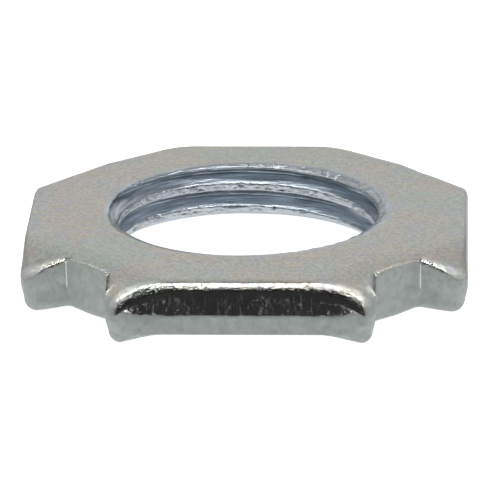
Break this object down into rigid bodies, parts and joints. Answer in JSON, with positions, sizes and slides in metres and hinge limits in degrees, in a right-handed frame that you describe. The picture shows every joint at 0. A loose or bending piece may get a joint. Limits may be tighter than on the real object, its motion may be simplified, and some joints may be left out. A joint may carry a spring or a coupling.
{
  "type": "conduit locknut",
  "caption": "Flat steel locknut with a tapped bore, driving lugs and bent teeth, which clamps a conduit fitting to a box wall.",
  "frame": {"origin": "on the bore axis, level with the lowest points of the teeth", "axes": "+Z along the bore axis, from the teeth towards the flat upper face; +X, +Y, -X and -Y point at the lugs"},
  "size_m": [0.0332, 0.0332, 0.0049],
  "materials": {
    "zinc_plated_steel": "zinc plate over stamped steel, matte on the rolled faces and bright where the punch sheared it"
  },
  "bodies": {
    "root": {"locknut": "zinc_plated_steel"}
  },
  "joints": []
}
